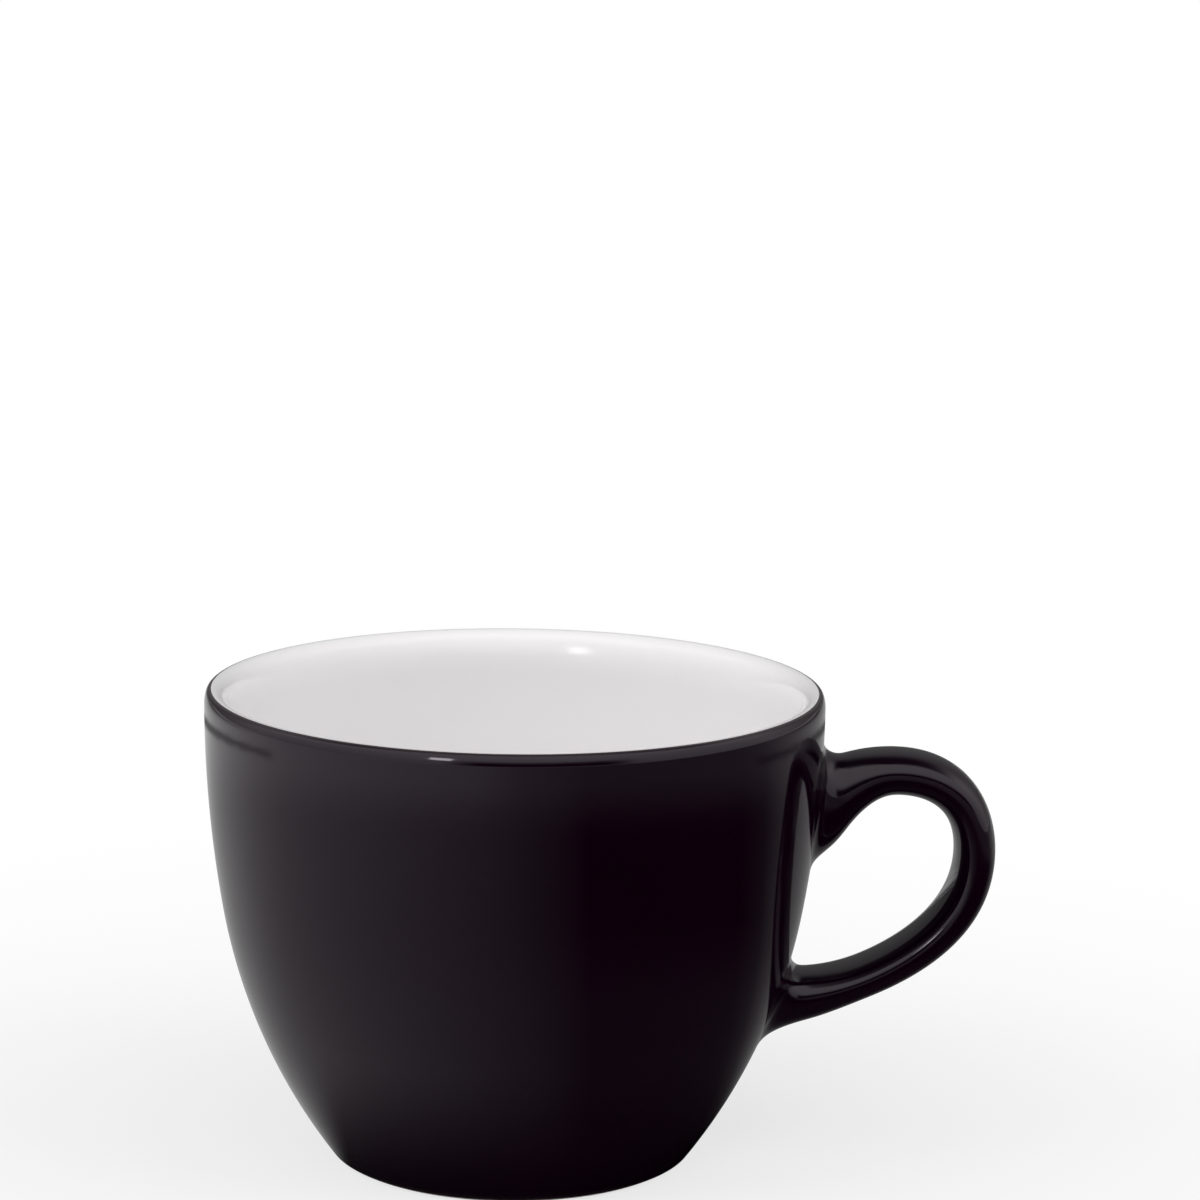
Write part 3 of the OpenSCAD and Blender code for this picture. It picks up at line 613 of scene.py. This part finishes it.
# The light: a studio tent of white cloth round the front and both sides, brighter towards its top.
# It is open and dim behind and over the back of the table, and has a dark gap for the lens in front.
LENS_WAY = (0.17, -0.98, 0)
tent = bpy.data.worlds.new("studio_tent")
bpy.context.scene.world = tent
tent.use_nodes = True
tree = tent.node_tree
tree.nodes.clear()
sight = add(tree, "TexCoord").outputs["Generated"]
way = add(tree, "SeparateXYZ", {"Vector": sight})
flat = add(tree, "VectorMath", {0: sight, 1: (1, 1, 0)}, operation="MULTIPLY").outputs["Vector"]
bearing = add(tree, "VectorMath", {"Vector": flat}, operation="NORMALIZE").outputs["Vector"]
cloth = add(tree, "MapRange", {"Value": way.outputs["Z"], "From Max": 0.55, "To Min": 0.5, "To Max": 0.88})
behind = add(tree, "SeparateXYZ", {"Vector": bearing}).outputs["Y"]
round_side = add(tree, "MapRange", {"Value": behind, "From Min": 0.2, "From Max": 0.88,
                                    "To Min": 1, "To Max": 0.25}, interpolation_type="SMOOTHSTEP")
over = add(tree, "MapRange", {"Value": way.outputs["Z"], "From Min": 0.62, "From Max": 0.9},
           interpolation_type="SMOOTHSTEP")
past = add(tree, "MapRange", {"Value": way.outputs["Y"], "From Min": -0.16, "From Max": 0.14},
           interpolation_type="SMOOTHSTEP")
open_top = add(tree, "Math", {0: over.outputs["Result"], 1: past.outputs["Result"]}, operation="MULTIPLY")
closed = add(tree, "MapRange", {"Value": open_top.outputs["Value"], "To Min": 1, "To Max": 0.1})
to_lens = add(tree, "VectorMath", {0: bearing, 1: LENS_WAY}, operation="DOT_PRODUCT").outputs["Value"]
slit = add(tree, "MapRange", {"Value": to_lens, "From Min": 0.78, "From Max": 0.93},
           interpolation_type="SMOOTHSTEP")
low = add(tree, "MapRange", {"Value": way.outputs["Z"], "From Min": 0.36, "From Max": 0.14},
          interpolation_type="SMOOTHSTEP")
gap = add(tree, "Math", {0: slit.outputs["Result"], 1: low.outputs["Result"]}, operation="MULTIPLY")
uncut = add(tree, "MapRange", {"Value": gap.outputs["Value"], "To Min": 1, "To Max": 0.03})
hung = add(tree, "Math", {0: cloth.outputs["Result"], 1: round_side.outputs["Result"]}, operation="MULTIPLY")
cut = add(tree, "Math", {0: closed.outputs["Result"], 1: uncut.outputs["Result"]}, operation="MULTIPLY")
bright = add(tree, "Math", {0: hung.outputs["Value"], 1: cut.outputs["Value"]}, operation="MULTIPLY")
sky = add(tree, "Background", {"Color": PLAIN_WHITE, "Strength": bright.outputs["Value"]})
add(tree, "OutputWorld", {"Surface": sky.outputs["Background"]})

# Three square soft lamps, all aimed at the middle of the cup: a key lamp stands left of the camera, a little
# higher. Two larger fills stand at the left and the right and are polarised, so that nothing mirrors them.
AIM_Z = 25


def lamp(name, azimuth, elevation, distance, size, level):
    """A square lamp of some brightness, at a bearing from the camera's side. Lengths are in metres."""
    light = bpy.data.lights.new(name, "AREA")
    light.size = size
    light.energy = level * math.pi * size ** 2
    a, e = math.radians(azimuth), math.radians(elevation)
    way = Vector((math.sin(a) * math.cos(e), -math.cos(a) * math.cos(e), math.sin(e)))
    made = bpy.data.objects.new(name, light)
    made.location = way * distance + Vector((0, 0, AIM_Z * MM))
    made.rotation_mode = "QUATERNION"
    made.rotation_quaternion = way.to_track_quat("Z", "Y")
    bpy.context.collection.objects.link(made)
    return made


lamp("key_lamp", azimuth=-27, elevation=19, distance=3, size=0.42, level=6)
left_fill = lamp("left_fill", azimuth=-65, elevation=40, distance=3, size=1.5, level=3.4)
right_fill = lamp("right_fill", azimuth=65, elevation=40, distance=3, size=1.5, level=2.7)
left_fill.visible_glossy = False
right_fill.visible_glossy = False

# The camera: a long lens in front of the cup and a little above it, which looks slightly down.
# It is turned a touch to the right and tilted by less than a degree.
LENS_LENGTH, SENSOR_W = 118.23, 36
CLIP_START = 10
CAMERA_PLACE = (0.106, -398.241, 133.247)
BEARING_DEG, DIP_DEG, TILT_DEG = 1.2195, 10.6296, 0.8414
camera = bpy.data.objects.new("camera", bpy.data.cameras.new("camera"))
camera.data.lens = LENS_LENGTH
camera.data.sensor_width = SENSOR_W
camera.data.sensor_fit = "HORIZONTAL"
camera.data.clip_start = CLIP_START * MM
bearing, dip, tilt = math.radians(BEARING_DEG), math.radians(DIP_DEG), math.radians(TILT_DEG)
look = Vector((math.sin(bearing) * math.cos(dip), math.cos(bearing) * math.cos(dip), -math.sin(dip)))
camera.matrix_world = (Matrix.Translation(Vector(CAMERA_PLACE) * MM)
                       @ (-look).to_track_quat("Z", "Y").to_matrix().to_4x4() @ Matrix.Rotation(tilt, 4, "Z"))
bpy.context.collection.objects.link(camera)
bpy.context.scene.camera = camera
bpy.context.scene.view_settings.view_transform = "Standard"
